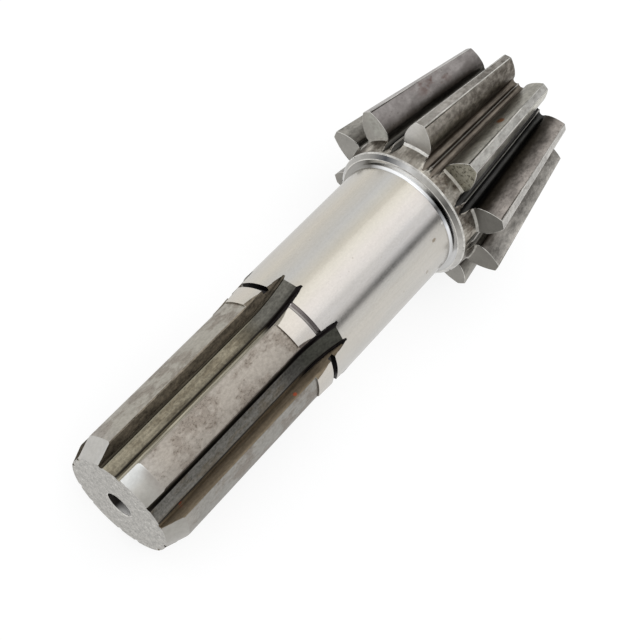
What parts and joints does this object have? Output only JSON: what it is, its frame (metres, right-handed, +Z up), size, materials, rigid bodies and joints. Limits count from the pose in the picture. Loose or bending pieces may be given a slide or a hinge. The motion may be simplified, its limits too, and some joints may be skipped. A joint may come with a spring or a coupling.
{
  "type": "bevel pinion shaft",
  "caption": "Bevel pinion shaft: a straight-toothed bevel gear made in one piece with its round bearing journal and a splined end that takes the drive.",
  "frame": {"origin": "centre of the bounding box's base, on the surface that the shaft lies on", "axes": "+X runs along the lying shaft from its splined end towards the gear, +Z is up and +Y completes the right-handed frame; the shaft's own axis rises about 5.6 degrees towards +X"},
  "size_m": [0.1652, 0.0586, 0.0562],
  "materials": {
    "machined_steel": "used machined steel: satin ground journal, dull hobbed spline, darkened teeth"
  },
  "bodies": {
    "root": {"pinion_shaft": "machined_steel"}
  },
  "joints": []
}
